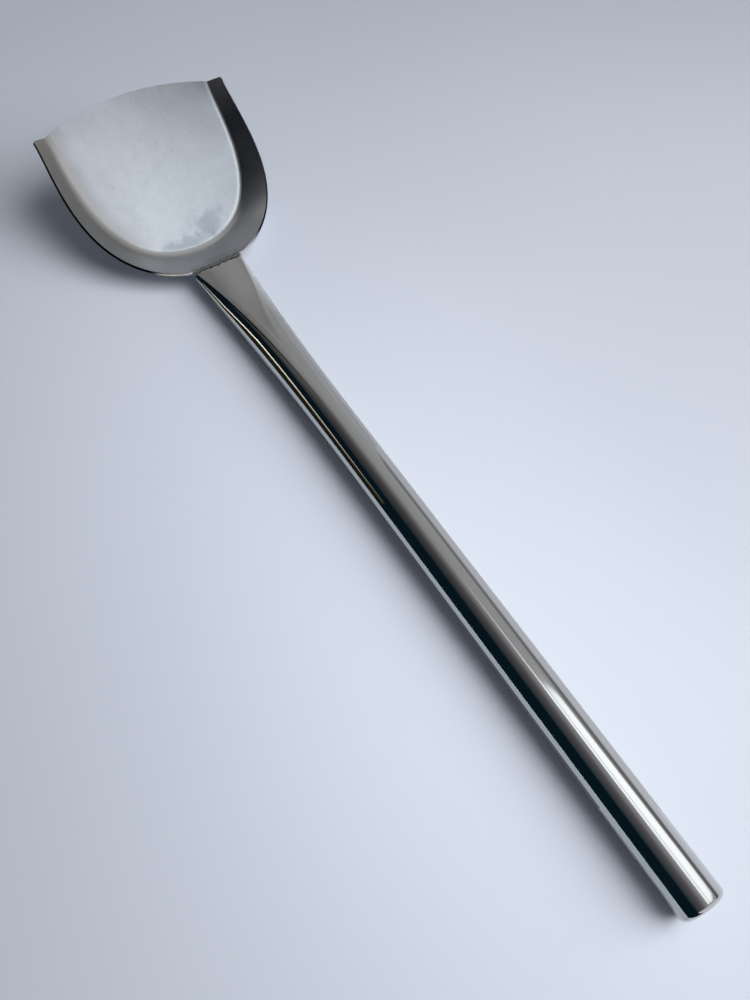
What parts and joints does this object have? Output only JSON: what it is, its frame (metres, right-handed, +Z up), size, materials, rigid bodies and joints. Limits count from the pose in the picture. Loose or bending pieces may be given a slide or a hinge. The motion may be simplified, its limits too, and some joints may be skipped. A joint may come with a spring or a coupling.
{
  "type": "wok spatula",
  "caption": "Wok spatula: a pressed steel blade with a flat tilted floor and a flared wall, welded to the flattened front of a round steel tube handle with a capped end.",
  "frame": {"origin": "bottom centre of the whole object's box, on the table that the tube and the blade's heel lie on", "axes": "+X along the handle from the blade to the round end, +Z up out of the blade's dish as it lies on a table, +Y across the blade; the XZ plane is the plane of symmetry"},
  "size_m": [0.4516, 0.1064, 0.0488],
  "materials": {
    "satin_steel": "satin stainless sheet, finely brushed",
    "polished_steel": "polished stainless tube with fine lengthwise lines",
    "weld_steel": "dull weld metal, lightly ground"
  },
  "bodies": {
    "root": {"blade": "satin_steel", "handle_tube": "polished_steel", "end_cap": "polished_steel", "top_weld": "weld_steel", "under_weld": "weld_steel"}
  },
  "joints": []
}
